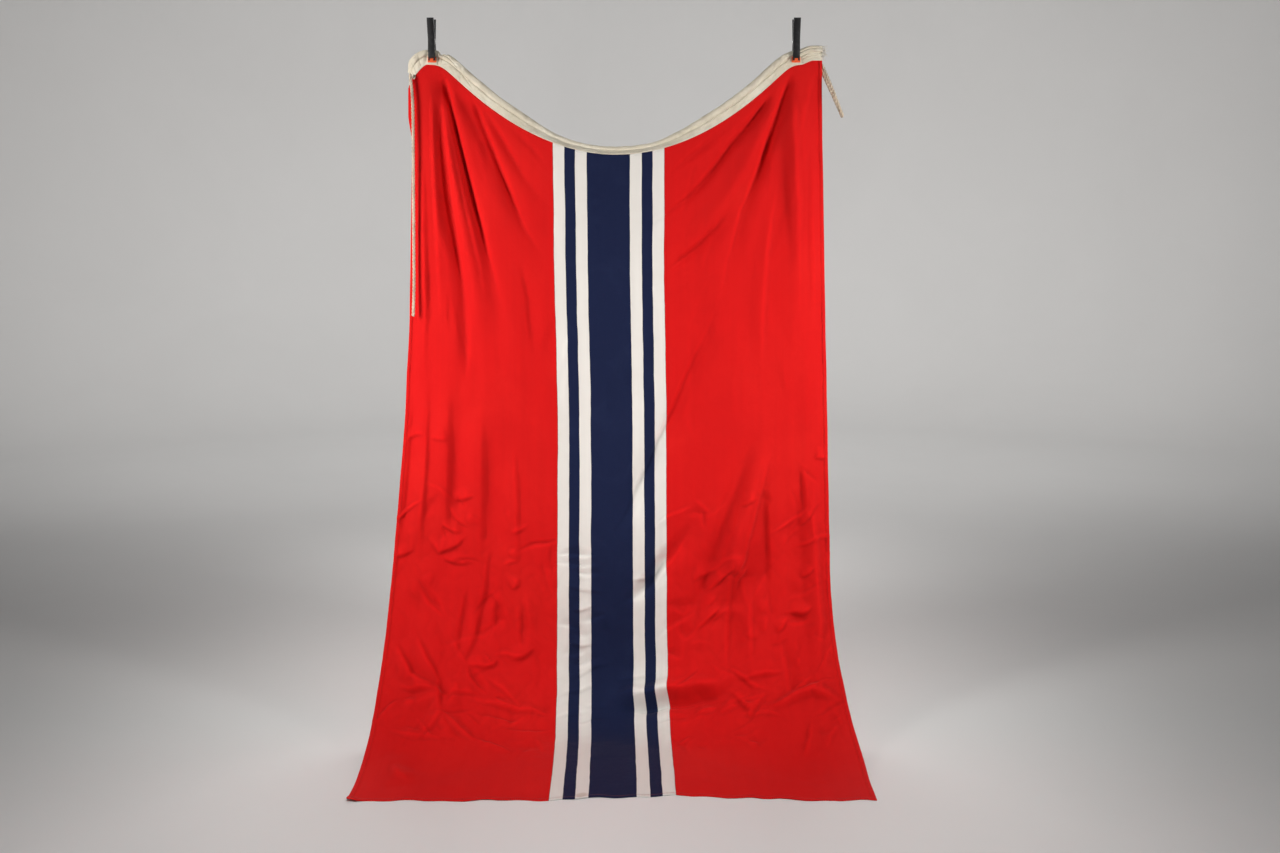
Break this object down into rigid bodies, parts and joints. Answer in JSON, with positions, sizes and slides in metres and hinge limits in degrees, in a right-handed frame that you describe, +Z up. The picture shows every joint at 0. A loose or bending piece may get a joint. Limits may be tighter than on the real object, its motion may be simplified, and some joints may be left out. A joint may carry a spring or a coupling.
{
  "type": "striped flag hung from two spring clamps",
  "caption": "Large red cloth flag with a lengthwise striped band, canvas heading and hoist rope, hung from spring clamps with its foot lying forward on the floor.",
  "frame": {"origin": "on the floor, under the middle of the whole part without its free rope", "axes": "+Z up; the flag's face looks along -Y, and its foot lies towards -Y; +X is to the right of a viewer of its face"},
  "size_m": [1.502, 0.7326, 2.214],
  "materials": {
    "flag_cloth": "red wool bunting with white and navy stripes down the middle, creased and a little soiled",
    "canvas": "unbleached canvas, stitched, creased, frayed at one end",
    "rope": "laid natural-fibre rope, slightly soiled",
    "clamp_nylon": "black moulded nylon",
    "clamp_pad": "orange soft plastic grip pad",
    "clamp_steel": "zinc-plated steel"
  },
  "bodies": {
    "root": {"flag_cloth": "flag_cloth", "heading": "canvas", "rope_tail": "rope", "rope_loop": "rope", "left_clamp_front_lever": "clamp_nylon", "left_clamp_back_lever": "clamp_nylon", "left_clamp_front_pad": "clamp_pad", "left_clamp_back_pad": "clamp_pad", "left_clamp_pivot": "clamp_steel", "left_clamp_spring": "clamp_steel", "right_clamp_front_lever": "clamp_nylon", "right_clamp_back_lever": "clamp_nylon", "right_clamp_front_pad": "clamp_pad", "right_clamp_back_pad": "clamp_pad", "right_clamp_pivot": "clamp_steel", "right_clamp_spring": "clamp_steel"}
  },
  "joints": []
}
